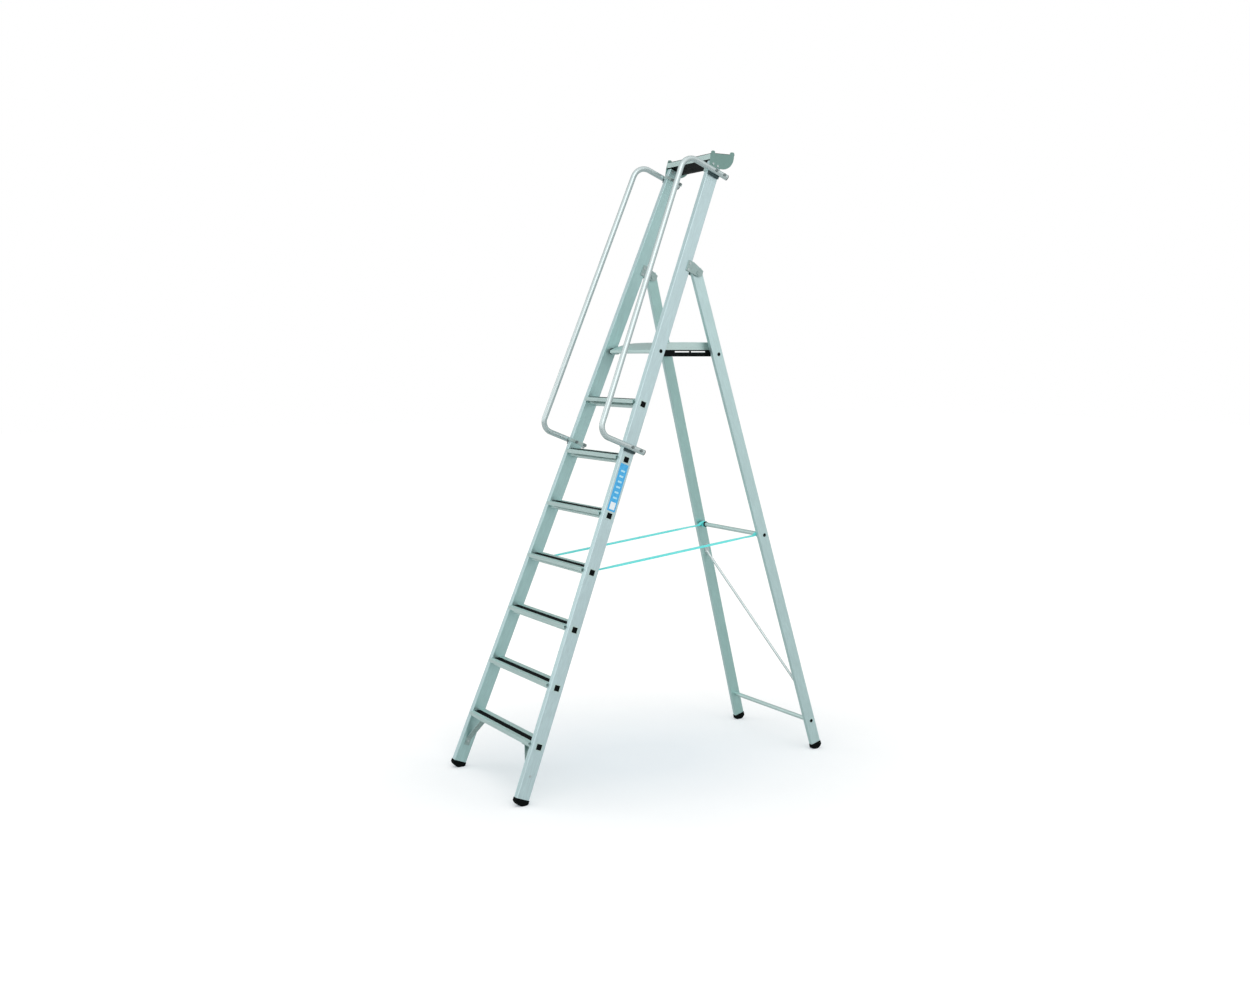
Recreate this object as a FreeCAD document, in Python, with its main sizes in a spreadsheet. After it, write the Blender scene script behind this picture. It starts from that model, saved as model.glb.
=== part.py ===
"""Platform step ladder: seven treads, a folding platform, a rear support frame and two handrails.

The ladder stands on Z = 0 with its climbing side towards -Y and its rear legs towards +Y.
X is the width. The origin is on the floor, in the middle of the footprint.

Two leaning frames are used below. In each one X is the width, Y points square away from the
climber and Z runs up along the frame from the floor. The front frame holds the stiles and
everything fixed to them, the rear frame holds the legs and their cross tubes.
"""
import FreeCAD, Part
import math
import os
import re

import Sketcher
from FreeCAD import Placement, Rotation, Vector

# Driving dimensions, in millimetres and degrees
SIZES = {
    # lean and taper of the two frames
    "front_lean": 21.6,
    "rear_lean": 15.7,
    "taper": 3.0,
    "front_half_width": 313,
    # stile extrusion
    "stile_depth": 60,
    "stile_thick": 28,
    "stile_wall": 2,
    "stile_corner": 2.5,
    "stile_top": 2910,
    # rear leg extrusion
    "leg_depth": 52,
    "leg_thick": 20,
    "leg_wall": 1.8,
    "leg_corner": 2,
    "leg_above_pivot": 18,
    # rubber feet
    "foot_top": 30,
    "foot_lip": 1,
    "foot_flat": 1.5,
    "foot_plug": 24,
    "foot_plug_play": 0.1,
    "front_foot_round": 40,
    "rear_foot_round": 35,
    # treads, measured from the middle of the square tube under each one
    "first_tread": 235,
    "tread_pitch": 235,
    "tread_front": 38,
    "tread_rear": 40,
    "tread_cover": 0.5,
    "tread_plate": 2.5,
    "tread_nose": 15,
    "tread_tail": 10,
    "tread_gap": 0.4,
    "rib_wide": 1.8,
    "rib_high": 0.8,
    "rib_pitch": 4.4,
    "strip_front": 23,
    "strip_deep": 26,
    "strip_thick": 2,
    "strip_end": 3,
    "tube_side": 30,
    "tube_wall": 2.5,
    "flare_side": 34,
    "flare_thick": 1.2,
    "plug_deep": 14,
    "plug_recess": 1,
    # bent strips that brace the lowest tread
    "brace_wide": 25,
    "brace_thick": 3,
    "brace_reach": 74,
    "brace_foot_low": 108,
    "brace_foot_high": 142,
    "brace_tab": 28,
    "brace_rivet_up": 3,
    # hinge between the stiles and the rear legs
    "hinge_along": 2412,
    "hinge_behind": 75,
    "hinge_plate": 3,
    "hinge_plate_corner": 4,
    "hinge_plate_ahead": 67,
    "hinge_plate_past": 22,
    "hinge_plate_under": 6,
    "hinge_plate_below": 12,
    "hinge_plate_rear_below": 4,
    "hinge_plate_rear_above": 22,
    "hinge_plate_above": 38,
    "hinge_plate_top_ahead": 37,
    "plate_rivet_behind": 20,
    "plate_rivet_above": 24,
    "plate_rivet_below": 4,
    "hinge_pin": 10,
    "hinge_pin_head": 18,
    "hinge_head_thick": 3,
    "hinge_head_play": 0.5,
    "hinge_washer": 24,
    "hinge_washer_thick": 2.4,
    "running_clearance": 0.06,
    # rivets
    "rivet": 5,
    "rivet_head": 10,
    "rivet_head_thick": 2,
    # platform, measured from the tube it tips on
    "platform_along": 2018,
    "platform_behind": 8,
    "platform_half_wide": 174,
    "platform_front": 22,
    "deck_before_tube": 1.3,
    "platform_top": 39,
    "platform_sweep": 162,
    "platform_sweep_drop": 34,
    "platform_nose_low": 6,
    "platform_skirt_low": 6,
    "platform_lug_low": 14,
    "platform_lug_rear": 22,
    "platform_lug_slope": 22,
    "platform_wall": 2.5,
    "deck_rib_high": 1,
    "deck_rib_wide": 3,
    "deck_rib_pitch": 12,
    "deck_rib_end": 4,
    "spacer_round": 28,
    "spacer_play": 0.8,
    "guide_front": 53,
    "short_guide_front": 190,
    "guide_past_tube": 17,
    "guide_top": 24,
    "guide_low": 23,
    "guide_thick": 4,
    "guide_corner": 4,
    "guide_play": 0.5,
    "guide_rivet_in": 14,
    "guide_rivet_up": 9,
    "guide_slot_high": 0.5,
    "guide_slot_low": 5.5,
    "guide_slot_first": 106,
    "guide_slot_long": 78,
    "guide_slot_pitch": 86,
    "hook_clearance": 0.8,
    "hook_flare": 10,
    # round cross tubes
    "bar_round": 20,
    "bar_wall": 1.6,
    "bar_proud": 0.8,
    "bar_behind": 4,
    "cap_deep": 12,
    "cap_recess": 0.5,
    "support_along": 1931,
    "upper_bar_along": 1074,
    "lower_bar_along": 142,
    # diagonal brace of the rear frame
    "diagonal_round": 12,
    "diagonal_high": 930,
    "diagonal_low": 305,
    "diagonal_tab_long": 54,
    "diagonal_tab_wide": 22,
    "diagonal_tab_thick": 3,
    "diagonal_bolt": 6,
    "diagonal_bolt_head": 11,
    # handrails
    "rail_round": 25,
    "rail_wall": 1.8,
    "rail_gap": 4,
    "rail_reach": 175,
    "rail_low": 1573,
    "rail_high": 2866,
    "rail_low_bend": 50,
    "rail_high_bend": 62,
    "rail_end": 62,
    "rail_cap_thick": 3,
    "rail_cap_deep": 10,
    "saddle_half_deep": 28,
    "saddle_below": 21,
    "saddle_above": 7,
    "saddle_thick": 10,
    "clamp_wide": 14,
    "clamp_thick": 3,
    "clamp_rear": 52,
    "rail_bolt": 8,
    "rail_bolt_front": 4,
    "rail_bolt_rear": 41,
    "rail_bolt_head": 13,
    "rail_bolt_head_thick": 5,
    # tool tray across the top
    "tray_half_long": 169,
    "tray_front": 33,
    "tray_rear": 80,
    "tray_round": 50,
    "tray_wall": 3,
    "tray_rim": 30,
    "lip_thick": 3,
    "lip_high": 22,
    "bracket_thick": 3,
    "bracket_skirt": 33,
    "bracket_rivet_front": 16,
    "bracket_rivet_rear": 10,
    "bracket_rivet_low": 12,
    "bracket_ear_high": 13,
    "bracket_ear_wide": 20,
    "bracket_ear_round": 7,
    "bracket_ear_ahead": 10,
    "bracket_ear_back": 6,
    "bracket_belly": 36,
    "bracket_rear_up": 4,
    # webbing straps that stop the frames from spreading
    "strap_tread": 4,
    "strap_wide": 22,
    "strap_thick": 1.6,
    "strap_at": 222,
    "strap_tab": 18,
    "collar_round": 26,
    "collar_long": 30,
    # side label
    "label_wide": 41,
    "label_long": 212,
    "label_thick": 0.4,
    "label_low": 1286,
}
TREAD_COUNT = 7
SIDES = {"right": 1, "left": -1}
REACH = 900
THROUGH = "7*stile_thick"

doc = FreeCAD.newDocument("PlatformStepLadder")
sheet = doc.addObject("Spreadsheet::Sheet", "Sizes")
for row, (alias, number) in enumerate(SIZES.items(), start=1):
    sheet.set(f"A{row}", alias.replace("_", " "))
    sheet.set(f"B{row}", str(number))
    sheet.setAlias(f"B{row}", alias)
doc.recompute()

ALIAS = re.compile(r"\b(" + "|".join(sorted(SIZES, key=len, reverse=True)) + r")\b")


def bound(formula):
    """The formula as the document writes it, with each size taken from the sheet."""
    return ALIAS.sub(r"Sizes.\1", f"{formula}")


def mm(formula):
    """What a formula of sheet sizes comes to."""
    answer = sheet.evalExpression(bound(formula))
    return float(getattr(answer, "Value", answer))


# ---------------------------------------------------------------------------------------
# Where the frames stand
# ---------------------------------------------------------------------------------------

LEAN = math.radians(mm("front_lean"))
REAR_LEAN = math.radians(mm("rear_lean"))
HINGE_HIGH = mm("hinge_along*cos(front_lean) - hinge_behind*sin(front_lean)")
HINGE_AHEAD = mm("hinge_along*sin(front_lean) + hinge_behind*cos(front_lean)")
LEG_TO_HINGE = HINGE_HIGH / math.cos(REAR_LEAN)
HALF_BASE = (HINGE_AHEAD + HINGE_HIGH * math.tan(REAR_LEAN)) / 2
REAR_HALF_WIDTH = mm("front_half_width - hinge_along*tan(taper)") + LEG_TO_HINGE * mm("tan(taper)")

FRONT = Placement(Vector(0, -HALF_BASE, 0), Rotation(Vector(1, 0, 0), -mm("front_lean")))
REAR = Placement(Vector(0, HALF_BASE, 0), Rotation(Vector(1, 0, 0), mm("rear_lean")))
HERE = Placement()

PLATFORM = Placement(
    FRONT.multVec(Vector(0, mm("platform_behind"), mm("platform_along"))), Rotation())
SUPPORT = REAR.multVec(Vector(0, mm("bar_behind"), mm("support_along")))
TUBE_AHEAD = SUPPORT.y - PLATFORM.Base.y
TUBE_UP = SUPPORT.z - PLATFORM.Base.z
PLATFORM_REAR = f"({TUBE_AHEAD} - bar_round/2 - deck_before_tube)"


def stile_frame(side):
    """The frame of one stile inside the front frame: X square to its flat sides."""
    sign = SIDES[side]
    return Placement(Vector(sign * mm("front_half_width"), 0, 0),
                     Rotation(Vector(0, 1, 0), -sign * mm("taper")))


def leg_frame(side):
    """The frame of one rear leg inside the rear frame: X square to its flat sides."""
    sign = SIDES[side]
    return Placement(Vector(sign * REAR_HALF_WIDTH, 0, 0),
                     Rotation(Vector(0, 1, 0), -sign * mm("taper")))


def stile_middle(height):
    """Half the distance between the stiles' middles, at a height along the front frame."""
    return mm("front_half_width") - height * mm("tan(taper)")


def leg_middle(height):
    """Half the distance between the legs' middles, at a height along the rear frame."""
    return REAR_HALF_WIDTH - height * mm("tan(taper)")


# ---------------------------------------------------------------------------------------
# Building blocks
# ---------------------------------------------------------------------------------------

NODES = []


def keep(shape_object, label, placement=HERE):
    """Make an object one of the ladder's pieces."""
    shape_object.Label = label
    shape_object.Placement = placement
    NODES.append(shape_object)
    return shape_object


def new_sketch(body, role, offset=None):
    """An empty sketch on one of the body's own origin planes."""
    plane = [item for item in body.Origin.OriginFeatures if item.Role == role][0]
    drawing = body.newObject("Sketcher::SketchObject", "Outline")
    drawing.AttachmentSupport = [(plane, "")]
    drawing.MapMode = "FlatFace"
    if offset:
        drawing.AttachmentOffset = offset
    return drawing


def pin_point(drawing, item, point, across, up):
    """Hold one end of a sketch line at a place given by two formulas."""
    for kind, formula in (("DistanceX", across), ("DistanceY", up)):
        index = drawing.addConstraint(
            Sketcher.Constraint(kind, -1, 1, item, point, mm(formula)))
        drawing.setExpression(f"Constraints[{index}]", bound(formula))


def draw_outline(drawing, corners):
    """Draw a closed outline. A corner is (across, up), or (across, up, point on an arc)."""
    places = [Vector(mm(corner[0]), mm(corner[1]), 0) for corner in corners]
    count = len(corners)
    items = []
    ends = []
    for index, corner in enumerate(corners):
        start, end = places[index], places[(index + 1) % count]
        first, last = 1, 2
        if len(corner) == 3:
            middle = Vector(mm(corner[2][0]), mm(corner[2][1]), 0)
            edge = Part.Arc(start, middle, end)
            if (middle - start).cross(end - start).z < 0:
                first, last = 2, 1
        else:
            edge = Part.LineSegment(start, end)
        items.append(drawing.addGeometry(edge, False))
        ends.append((first, last))
    for index, corner in enumerate(corners):
        item, (first, last) = items[index], ends[index]
        after = (index + 1) % count
        drawing.addConstraint(
            Sketcher.Constraint("Coincident", item, last, items[after], ends[after][0]))
        pin_point(drawing, item, first, corner[0], corner[1])
        if len(corner) == 3:
            radius = drawing.Geometry[item].Radius
            drawing.addConstraint(Sketcher.Constraint("Radius", item, radius))
    return drawing


def draw_circle(drawing, across, up, radius):
    """Draw a circle held by formulas."""
    place = Vector(mm(across), mm(up), 0)
    item = drawing.addGeometry(Part.Circle(place, Vector(0, 0, 1), mm(radius)), False)
    pin_point(drawing, item, 3, across, up)
    index = drawing.addConstraint(Sketcher.Constraint("Radius", item, mm(radius)))
    drawing.setExpression(f"Constraints[{index}]", bound(radius))
    return item


def pad(body, drawing, length, both_ways=True, reverse=False):
    """Grow a solid from a sketch."""
    feature = body.newObject("PartDesign::Pad", "Pad")
    feature.Profile = drawing
    feature.setExpression("Length", bound(length))
    if both_ways:
        feature.SideType = "Symmetric"
    feature.Reversed = reverse
    drawing.Visibility = False
    doc.recompute()
    return feature


def pocket(body, drawing, length=None):
    """Cut a sketch out of the body, evenly to both sides of its plane."""
    feature = body.newObject("PartDesign::Pocket", "Pocket")
    feature.Profile = drawing
    feature.SideType = "Symmetric"
    if length:
        feature.setExpression("Length", bound(length))
    else:
        feature.Type = "ThroughAll"
    drawing.Visibility = False
    doc.recompute()
    return feature


def round_edges(body, feature, radius, chosen):
    """Round the edges of a feature that a test picks out."""
    names = [f"Edge{number}" for number, edge in enumerate(feature.Shape.Edges, start=1)
             if chosen(edge)]
    fillet = body.newObject("PartDesign::Fillet", "Fillet")
    fillet.Base = (feature, names)
    fillet.setExpression("Radius", bound(radius))
    doc.recompute()
    return fillet


def plate(name, corners, length, role="YZ_Plane"):
    """A prism with a drawn outline, grown evenly to both sides of its plane."""
    body = doc.addObject("PartDesign::Body", name)
    pad(body, draw_outline(new_sketch(body, role), corners), length)
    return body


def box(name, near, spans, placement=HERE):
    """A box from its near corner, with every number a formula of the sheet."""
    solid = doc.addObject("Part::Box", name)
    for prop, formula in zip(("Length", "Width", "Height"), spans):
        solid.setExpression(prop, bound(formula))
    corner = Vector(*[mm(formula) for formula in near])
    solid.Placement = placement.multiply(Placement(corner, Rotation()))
    return solid


def rod(name, radius, length, middle, direction=Vector(1, 0, 0), placement=HERE):
    """A cylinder of a given length about its middle point."""
    solid = doc.addObject("Part::Cylinder", name)
    solid.setExpression("Radius", bound(radius))
    solid.setExpression("Height", bound(length))
    turn = Rotation(Vector(0, 0, 1), direction)
    unit = Vector(direction).normalize()
    start = Vector(*middle) - unit * (mm(length) / 2)
    solid.Placement = placement.multiply(Placement(start, turn))
    return solid


def turned(name, steps, placement):
    """A round piece about its own Z axis, from (height, radius) steps going up."""
    body = doc.addObject("PartDesign::Body", name)
    corners = [("0", steps[0][0])]
    for height, radius in steps:
        corners.append((radius, height))
    corners.append(("0", steps[-1][0]))
    drawing = draw_outline(new_sketch(body, "XZ_Plane"), corners)
    spin = body.newObject("PartDesign::Revolution", "Revolution")
    spin.Profile = drawing
    spin.ReferenceAxis = (drawing, ["V_Axis"])
    spin.Angle = 360
    doc.recompute()
    body.Placement = placement
    return body


def fastener(name, shank, head, head_thick, grip, placement):
    """A shank with a head at each end. Its own Z runs through the parts it clamps."""
    half_head, half_shank = f"{head}/2", f"{shank}/2"
    steps = [(f"-{head_thick}", half_head), ("0", half_head), ("0", half_shank),
             (grip, half_shank), (grip, half_head), (f"{grip}+{head_thick}", half_head)]
    return turned(name, steps, placement)


def along_x(place, sign):
    """A placement whose own Z looks along X, outwards on the side given."""
    return Placement(Vector(*place), Rotation(Vector(0, 0, 1), Vector(sign, 0, 0)))


def cut(name, base, tools):
    """One object less several others."""
    tool = tools[0] if len(tools) == 1 else fuse(name + "Tools", tools)
    result = doc.addObject("Part::Cut", name)
    result.Base = base
    result.Tool = tool
    doc.recompute()
    return result


def fuse(name, shapes):
    """Several objects joined."""
    result = doc.addObject("Part::MultiFuse", name)
    result.Shapes = shapes
    doc.recompute()
    return result


def common(name, base, tool):
    """What two objects share."""
    result = doc.addObject("Part::Common", name)
    result.Base = base
    result.Tool = tool
    doc.recompute()
    return result


def group(name, shapes):
    """Separate pieces of one kind, kept together."""
    result = doc.addObject("Part::Compound", name)
    result.Links = shapes
    doc.recompute()
    return result


def wedge(name, half_at_floor, high):
    """The space between two surfaces that come together as the frame rises."""
    top = f"({half_at_floor}) - ({high})*tan(taper)"
    corners = [(f"-({half_at_floor})", "0"), (half_at_floor, "0"),
               (top, high), (f"-({top})", high)]
    return plate(name, corners, f"{REACH}", "XZ_Plane")


def ribbed_top(start, finish, level, pitch, wide, high):
    """Corners of a flat top that carries small square ribs, from its front to its rear."""
    corners = []
    count = int((mm(finish) - mm(start) - mm(wide)) // mm(pitch))
    spare = f"(({finish}) - ({start}) - {count}*{pitch} - {wide})/2"
    for number in range(count + 1):
        edge = f"{start} + {spare} + {number}*{pitch}"
        corners += [(edge, level), (edge, f"{level}+{high}"),
                    (f"{edge}+{wide}", f"{level}+{high}"), (f"{edge}+{wide}", level)]
    return corners


def parallel_to(axis):
    """A test for straight edges that run along an axis."""
    def test(edge):
        if not isinstance(edge.Curve, Part.Line):
            return False
        return abs(edge.tangentAt(edge.FirstParameter).dot(axis)) > 0.999
    return test


def hollow_section(name, depth, thick, wall, corner, low, high):
    """A rectangular tube with rounded corners along its own Z."""
    body = doc.addObject("PartDesign::Body", name)
    drawing = new_sketch(body, "XY_Plane", Placement(Vector(0, 0, mm(low)), Rotation()))
    outer_x, outer_y = f"{thick}/2", f"{depth}/2"
    draw_outline(drawing, [(f"-{outer_x}", f"-{outer_y}"), (outer_x, f"-{outer_y}"),
                           (outer_x, outer_y), (f"-{outer_x}", outer_y)])
    inner_x, inner_y = f"({thick}/2-{wall})", f"({depth}/2-{wall})"
    draw_outline(drawing, [(f"-{inner_x}", f"-{inner_y}"), (inner_x, f"-{inner_y}"),
                           (inner_x, inner_y), (f"-{inner_x}", inner_y)])
    shaft = pad(body, drawing, f"{high}-({low})", both_ways=False)
    half_depth = mm(outer_y)

    def at_corner(edge):
        return (parallel_to(Vector(0, 0, 1))(edge)
                and abs(abs(edge.CenterOfMass.y) - half_depth) < 0.01)

    round_edges(body, shaft, corner, at_corner)
    return body


# Spaces between the facing sides of the stiles and of the legs
STILE_SLANT = "stile_thick/2/cos(taper)"
tread_space = wedge("TreadSpace", f"front_half_width - {STILE_SLANT} - tread_gap", "stile_top")
across_stiles = wedge("AcrossStiles", f"front_half_width + {STILE_SLANT} + flare_thick", "stile_top")
lip_space = wedge("LipSpace", f"front_half_width + {STILE_SLANT}", "stile_top + 100")

# ---------------------------------------------------------------------------------------
# Treads
# ---------------------------------------------------------------------------------------

TREAD_RISE = "(tube_side/2*(cos(front_lean) + sin(front_lean)) + tread_cover)"


def tread_height(number):
    """Height along the front frame of the tube under one tread."""
    return f"((first_tread + {number - 1}*tread_pitch)/cos(front_lean))"


def tread_outline():
    """Side view of the tread plate: ribbed top with a plain seat for the rubber strip."""
    low = f"{TREAD_RISE} - tread_plate"
    seat = "(-tread_front + strip_front)"
    front = ribbed_top("-tread_front", seat, TREAD_RISE, "rib_pitch", "rib_wide", "rib_high")
    rear = ribbed_top(f"{seat} + strip_deep", "tread_rear", TREAD_RISE,
                      "rib_pitch", "rib_wide", "rib_high")
    under = [
        ("tread_rear", TREAD_RISE),
        ("tread_rear", f"{TREAD_RISE} - tread_tail"),
        ("tread_rear - tread_plate", f"{TREAD_RISE} - tread_tail"),
        ("tread_rear - tread_plate", low),
        ("-tread_front + tread_plate", low),
        ("-tread_front + tread_plate", f"{TREAD_RISE} - tread_nose"),
        ("-tread_front", f"{TREAD_RISE} - tread_nose"),
        ("-tread_front", TREAD_RISE),
    ]
    return list(reversed(under + front + rear))


def brace_bends():
    """Bends of the strip that braces the lowest tread, from the right stile to its inner tab."""
    under_tube = mm(f"{tread_height(1)} - tube_side/2")
    low, high = mm("brace_foot_low"), mm("brace_foot_high")
    inner = mm(STILE_SLANT)
    foot_low = Vector(stile_middle(low) - inner, low, 0)
    foot_high = Vector(stile_middle(high) - inner, high, 0)
    knee = Vector(foot_high.x - mm("brace_reach"), under_tube, 0)
    tip = Vector(knee.x - mm("brace_tab"), under_tube, 0)
    return [foot_low, foot_high, knee, tip]


BRACE_BENDS = brace_bends()
tab_middle = (BRACE_BENDS[2] + BRACE_BENDS[3]) / 2
brace_tabs = {side: Vector(sign * tab_middle.x, 0, tab_middle.y) for side, sign in SIDES.items()}
tab_holes = {side: rod(f"BraceTabHole{side}", "rivet/2", "tube_side", brace_tabs[side],
                       Vector(0, 0, 1)) for side in SIDES}

stile_holes = []
for number in range(1, TREAD_COUNT + 1):
    along = tread_height(number)
    seat = Placement(Vector(0, 0, mm(along)), Rotation())
    level = Placement(Vector(0, 0, mm(along)), Rotation(Vector(1, 0, 0), mm("front_lean")))

    profile = plate(f"TreadProfile{number}", tread_outline(), "2*front_half_width")
    profile.Placement = level
    top = common(f"TreadTop{number}", profile, tread_space)

    side, inner = "tube_side", "(tube_side - 2*tube_wall)"
    shaft = box(f"TreadShaft{number}", ("-front_half_width - 50", f"-{side}/2", f"-{side}/2"),
                ("2*front_half_width + 100", side, side), seat)
    bore = box(f"TreadBore{number}", ("-front_half_width - 50", f"-{inner}/2", f"-{inner}/2"),
               ("2*front_half_width + 100", inner, inner), seat)
    tube = common(f"TreadTube{number}", shaft, across_stiles)
    parts = [top, tube]
    for name, sign in SIDES.items():
        spot = f"({along})/cos(taper)"
        outer = "stile_thick/2" if sign > 0 else "-stile_thick/2 - flare_thick"
        parts.append(box(f"Flare{number}{name}", (outer, "-flare_side/2", f"{spot} - flare_side/2"),
                         ("flare_thick", "flare_side", "flare_side"), stile_frame(name)))
    openings = [bore, *tab_holes.values()] if number == 1 else [bore]
    solid = cut(f"Tread{number}", fuse(f"TreadJoined{number}", parts), openings)
    keep(solid, f"tread_{number}", FRONT)
    stile_holes.append(shaft)

    half_strip = stile_middle(mm(f"{along} + {TREAD_RISE}*cos(front_lean) + strip_deep")) - mm(
        "stile_thick/2 + strip_end")
    rubber = box(f"GripStrip{number}",
                 (-half_strip, "-tread_front + strip_front", TREAD_RISE),
                 (2 * half_strip, "strip_deep", "strip_thick"), level)
    keep(group(f"Grip{number}", [rubber]), f"tread_strip_{number}", FRONT)

plugs = []
for number in range(1, TREAD_COUNT + 1):
    along = mm(tread_height(number))
    outer = stile_middle(along) + mm(STILE_SLANT)
    side = "(tube_side - 2*tube_wall)"
    for name, sign in SIDES.items():
        start = outer - mm("plug_recess + plug_deep") if sign > 0 else mm("plug_recess") - outer
        plugs.append(box(f"TubePlug{number}{name}",
                         (start, f"-{side}/2", f"{along} - {side}/2"),
                         ("plug_deep", side, side)))
keep(group("TubePlugs", plugs), "tread_plugs", FRONT)

# ---------------------------------------------------------------------------------------
# Stiles, with every hole that passes through them
# ---------------------------------------------------------------------------------------

PLATE_RIVETS = (("plate_rivet_behind", "hinge_along + plate_rivet_above"),
                ("plate_rivet_behind", "hinge_along - plate_rivet_below"))
BRACE_RIVET = "(brace_foot_low + brace_foot_high)/2 + brace_rivet_up"
BRACKET_RIVETS = (("-bracket_rivet_front", "stile_top - bracket_rivet_low"),
                  ("bracket_rivet_rear", "stile_top - bracket_rivet_low"))
RAIL_BOLTS = ("-rail_bolt_front", "rail_bolt_rear")
RAIL_ARMS = ("rail_low", "rail_high")

platform_hole = rod("PlatformHole", "bar_round/2", "2*front_half_width + 100",
                    (0, mm("platform_behind"), mm("platform_along")))
hinge_hole = rod("HingeHole", "hinge_pin/2", "2*front_half_width + 100",
                 (0, mm("hinge_behind"), mm("hinge_along")))
rivet_spots = [*PLATE_RIVETS, ("0", BRACE_RIVET), *BRACKET_RIVETS]


def stile_cross_hole(name, side, radius, behind, along):
    """A hole square through one stile's flat sides."""
    return rod(name, radius, THROUGH, (0, mm(behind), mm(along)), placement=stile_frame(side))


for side in SIDES:
    section = hollow_section(f"StileSection{side}", "stile_depth", "stile_thick", "stile_wall",
                             "stile_corner", "foot_top", "stile_top")
    section.Placement = stile_frame(side)
    holes = list(stile_holes) + [platform_hole]
    for index, (behind, along) in enumerate(rivet_spots):
        holes.append(stile_cross_hole(f"StileRivetHole{side}{index}", side, "rivet/2", behind, along))
    for index, along in enumerate(RAIL_ARMS):
        holes.append(stile_cross_hole(f"StileBoltHole{side}{index}", side, "rail_bolt/2",
                                      RAIL_BOLTS[0], along))
    keep(cut(f"Stile{side}", section, holes), f"stile_{side}", FRONT)

# ---------------------------------------------------------------------------------------
# Rubber feet
# ---------------------------------------------------------------------------------------


def make_foot(label, frame, own, depth, thick, wall, curve, lean):
    """A rubber end with a rounded sole, worn flat where it meets the floor."""
    half = f"({depth}/2 + foot_lip)"
    centre = f"(({curve} - foot_flat)/cos({lean}))"
    column = plate(label + "Column", [(half, "foot_top"), (f"-{half}", "foot_top"),
                                      (f"-{half}", "-foot_top"), (half, "-foot_top")],
                   f"{thick} + 2*foot_lip")
    sole = rod(label + "Sole", curve, f"2*{thick}", (0, 0, mm(centre)))
    above = box(label + "Above", (f"-{thick}", f"-{half}", centre),
                (f"2*{thick}", f"2*{half}", "2*foot_top"))
    rounded = common(label + "Rounded", column, fuse(label + "Shape", [sole, above]))
    play = f"({wall} + foot_plug_play)"
    plug = box(label + "Plug", (f"-{thick}/2 + {play}", f"-{depth}/2 + {play}", "foot_top - 1"),
               (f"{thick} - 2*{play}", f"{depth} - 2*{play}", "foot_plug + 1"))
    joined = fuse(label + "Joined", [rounded, plug])
    joined.Placement = own
    floor = box(label + "Floor", (-REACH, -REACH, -REACH), (2 * REACH, 2 * REACH, REACH),
                frame.inverse())
    keep(cut(label + "Cut", joined, [floor]), label, frame)


for side in SIDES:
    make_foot(f"front_foot_{side}", FRONT, stile_frame(side), "stile_depth", "stile_thick",
              "stile_wall", "front_foot_round", "front_lean")
    make_foot(f"rear_foot_{side}", REAR, leg_frame(side), "leg_depth", "leg_thick",
              "leg_wall", "rear_foot_round", "rear_lean")

# ---------------------------------------------------------------------------------------
# Braces under the lowest tread
# ---------------------------------------------------------------------------------------


def bent_strip(places, thick):
    """The outline of a bent strip: its outer bends, and the same bends one thickness in."""
    turned_in = []
    for index, place in enumerate(places):
        ways = []
        if index > 0:
            ways.append((place - places[index - 1]).normalize())
        if index < len(places) - 1:
            ways.append((places[index + 1] - place).normalize())
        sides = [Vector(-way.y, way.x, 0) for way in ways]
        total = sides[0] + sides[-1]
        turned_in.append(place + total * (thick / (1 + sides[0].dot(sides[-1]))))
    return [(spot.x, spot.y) for spot in places + turned_in[::-1]]


for side, sign in SIDES.items():
    strip = plate(f"BraceStrip{side}", bent_strip(BRACE_BENDS, mm("brace_thick")), "brace_wide",
                  "XZ_Plane")
    if sign < 0:
        strip.Placement = Placement(Vector(), Rotation(Vector(0, 0, 1), 180))
    stile_hole = stile_cross_hole(f"BraceHole{side}", side, "rivet/2", "0", BRACE_RIVET)
    keep(cut(f"Brace{side}", strip, [stile_hole, tab_holes[side]]), f"tread_brace_{side}", FRONT)

# ---------------------------------------------------------------------------------------
# Hinges
# ---------------------------------------------------------------------------------------

PLATE_CORNERS = [
    ("hinge_behind - hinge_plate_ahead", "hinge_along - hinge_plate_below"),
    ("hinge_behind + hinge_plate_under", "hinge_along - hinge_plate_below"),
    ("hinge_behind + hinge_plate_past", "hinge_along - hinge_plate_rear_below"),
    ("hinge_behind + hinge_plate_past", "hinge_along + hinge_plate_rear_above"),
    ("hinge_behind - hinge_plate_top_ahead", "hinge_along + hinge_plate_above"),
    ("hinge_behind - hinge_plate_ahead", "hinge_along + hinge_plate_above"),
]
STILE_FACE = {"outer": "stile_thick/2", "inner": "-stile_thick/2 - hinge_plate"}

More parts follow.
